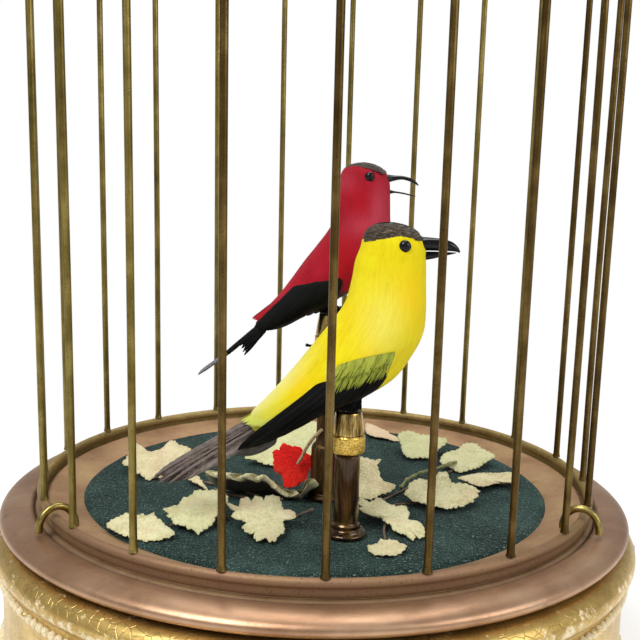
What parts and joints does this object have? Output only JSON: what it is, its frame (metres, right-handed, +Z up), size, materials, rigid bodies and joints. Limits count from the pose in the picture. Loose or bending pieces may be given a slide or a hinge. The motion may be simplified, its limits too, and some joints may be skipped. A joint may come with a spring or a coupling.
{
  "type": "singing bird automaton",
  "caption": "Wire birdcage on a turned base with two feathered birds on brass posts over a flocked, leafy floor; clockwork, bellows and whistle are in the base.",
  "frame": {"origin": "middle of the base's foot, at the height of the table it stands on", "axes": "+Z up along the cage's axis, -Y toward the camera, so both birds look along +X and the start lever is on the +X side"},
  "size_m": [0.168, 0.1676, 0.2736],
  "materials": {
    "aged_brass": "aged, brown in the hollows",
    "beak_horn": "glossy black horn",
    "bellows_board": "plain board",
    "bright_brass": "polished, worn gilt",
    "copper_satin": "satin, copper-pink",
    "dark_brass": "dark glossy lacquer",
    "gilt_wood": "gilded over gesso",
    "green_flock": "dark green flock",
    "leaf_cloth": "stiffened cloth, cream and pale green",
    "red_cloth": "ragged cloth",
    "red_feathers": "crimson feathers",
    "red_tail_feathers": "black feathers",
    "red_wing_feathers": "black feathers",
    "steel": "turned steel",
    "yellow_feathers": "yellow feathers",
    "yellow_tail_feathers": "grey-brown feathers",
    "yellow_wing_feathers": "olive and black feathers"
  },
  "bodies": {
    "base": {"base_drum": "gilt_wood", "bottom_plate": "bright_brass", "cage_bottom_ring": "aged_brass", "cage_dome": "aged_brass", "cage_staple_back": "bright_brass", "cage_staple_left": "bright_brass", "cage_staple_right": "bright_brass", "cage_wire_01": "aged_brass", "cage_wire_02": "aged_brass", "cage_wire_03": "aged_brass", "cage_wire_04": "aged_brass", "cage_wire_05": "aged_brass", "cage_wire_06": "aged_brass", "cage_wire_07": "aged_brass", "cage_wire_08": "aged_brass", "cage_wire_09": "aged_brass", "cage_wire_10": "aged_brass", "cage_wire_11": "aged_brass", "cage_wire_12": "aged_brass", "cage_wire_13": "aged_brass", "cage_wire_14": "aged_brass", "cage_wire_15": "aged_brass", "cage_wire_16": "aged_brass", "cage_wire_17": "aged_brass", "cage_wire_18": "aged_brass", "cage_wire_19": "aged_brass", "cage_wire_20": "aged_brass", "cage_wire_21": "aged_brass", "felt_floor": "green_flock", "floor_pan": "copper_satin", "flower": "red_cloth", "leaf_spray_left": "leaf_cloth", "leaf_spray_right": "leaf_cloth", "movement_top_plate": "bright_brass", "red_post": "dark_brass", "wind_chest_and_whistle": "bright_brass", "yellow_post": "dark_brass"},
    "hanging_loop_body": {"hanging_loop": "aged_brass"},
    "key": {"winding_key": "steel"},
    "barrel": {"mainspring_barrel": "bright_brass"},
    "cam": {"cam_arbor": "bright_brass"},
    "second": {"second_wheel": "bright_brass"},
    "fly": {"fly_governor": "bright_brass"},
    "bellows": {"bellows_board": "bellows_board"},
    "piston": {"whistle_piston": "steel"},
    "lever": {"stop_lever": "steel"},
    "yellow_bird": {"yellow_ferrule": "bright_brass", "yellow_body": "yellow_feathers", "yellow_wing_near": "yellow_wing_feathers", "yellow_wing_far": "yellow_wing_feathers"},
    "yellow_beak": {"yellow_beak_lower": "beak_horn"},
    "yellow_tail_body": {"yellow_tail": "yellow_tail_feathers"},
    "yellow_rod": {"yellow_push_rod": "steel"},
    "red_bird": {"red_ferrule": "bright_brass", "red_body": "red_feathers", "red_wing_near": "red_wing_feathers", "red_wing_far": "red_wing_feathers"},
    "red_beak": {"red_beak_lower": "beak_horn"},
    "red_tail_body": {"red_tail": "red_tail_feathers"},
    "red_rod": {"red_push_rod": "steel"}
  },
  "joints": [
    {"name": "hanging_loop_swing", "type": "hinge", "parent": "base", "child": "hanging_loop_body", "pos_m": [0, 0, 0.2699], "axis": [0, 1, 0], "range_deg": [0, 192]},
    {"name": "key_turn", "type": "hinge", "parent": "base", "child": "key", "pos_m": [-0.01428, -0.00017, 0.012], "axis": [0, 0, 1], "continuous": true},
    {"name": "barrel_turn", "type": "hinge", "parent": "base", "child": "barrel", "pos_m": [-0.01428, -0.00017, 0.02], "axis": [0, 0, 1], "continuous": true},
    {"name": "cam_turn", "type": "hinge", "parent": "base", "child": "cam", "pos_m": [0.005, -0.02315, 0.02], "axis": [0, 0, 1], "continuous": true},
    {"name": "second_turn", "type": "hinge", "parent": "base", "child": "second", "pos_m": [0.029, -0.02315, 0.02], "axis": [0, 0, 1], "continuous": true},
    {"name": "fly_turn", "type": "hinge", "parent": "base", "child": "fly", "pos_m": [0.0386, -0.00652, 0.02], "axis": [0, 0, 1], "continuous": true},
    {"name": "bellows_open", "type": "hinge", "parent": "base", "child": "bellows", "pos_m": [0.032, 0.0295, 0.0226], "axis": [-1, 0, 0], "range_deg": [0, 12]},
    {"name": "piston_slide", "type": "slide", "parent": "base", "child": "piston", "axis": [1, 0, 0], "range_m": [0, 0.008]},
    {"name": "lever_turn", "type": "hinge", "parent": "base", "child": "lever", "pos_m": [0.052, -0.026, 0.0377], "axis": [0, 0, 1], "range_deg": [-3, 3]},
    {"name": "yellow_bird_swivel", "type": "hinge", "parent": "base", "child": "yellow_bird", "pos_m": [0.0071, -0.0359, 0.0809], "axis": [0, 0, 1], "range_deg": [-20, 20]},
    {"name": "yellow_beak_hinge", "type": "hinge", "parent": "yellow_bird", "child": "yellow_beak", "pos_m": [0.0215, -0.0359, 0.1163], "axis": [0, 1, 0], "range_deg": [0, 20]},
    {"name": "yellow_tail_hinge", "type": "hinge", "parent": "yellow_bird", "child": "yellow_tail_body", "pos_m": [-0.0156, -0.0359, 0.0755], "axis": [0, 1, 0], "range_deg": [0, 8]},
    {"name": "yellow_rod_slide", "type": "slide", "parent": "base", "child": "yellow_rod", "axis": [0, 0, 1], "range_m": [0, 0.0012]},
    {"name": "red_bird_swivel", "type": "hinge", "parent": "base", "child": "red_bird", "pos_m": [0.0029, -0.0104, 0.09929], "axis": [0, 0, 1], "range_deg": [-20, 20]},
    {"name": "red_beak_hinge", "type": "hinge", "parent": "red_bird", "child": "red_beak", "pos_m": [0.01602, -0.0104, 0.12974], "axis": [0, 1, 0], "range_deg": [-13, 0]},
    {"name": "red_tail_hinge", "type": "hinge", "parent": "red_bird", "child": "red_tail_body", "pos_m": [-0.01589, -0.0104, 0.09465], "axis": [0, 1, 0], "range_deg": [-8, 0]},
    {"name": "red_rod_slide", "type": "slide", "parent": "base", "child": "red_rod", "axis": [0, 0, 1], "range_m": [-0.0012, 0]}
  ],
  "couplings": [
    {"joint": "barrel_turn", "follows": "second_turn", "ratio": 0.083333},
    {"joint": "cam_turn", "follows": "second_turn", "ratio": -0.33333},
    {"joint": "fly_turn", "follows": "second_turn", "ratio": -3},
    {"joint": "yellow_beak_hinge", "follows": "yellow_rod_slide", "rad_per_m": 290.74},
    {"joint": "yellow_tail_hinge", "follows": "yellow_rod_slide", "rad_per_m": 116.3},
    {"joint": "red_beak_hinge", "follows": "red_rod_slide", "rad_per_m": 188.98},
    {"joint": "red_tail_hinge", "follows": "red_rod_slide", "rad_per_m": 116.3}
  ]
}
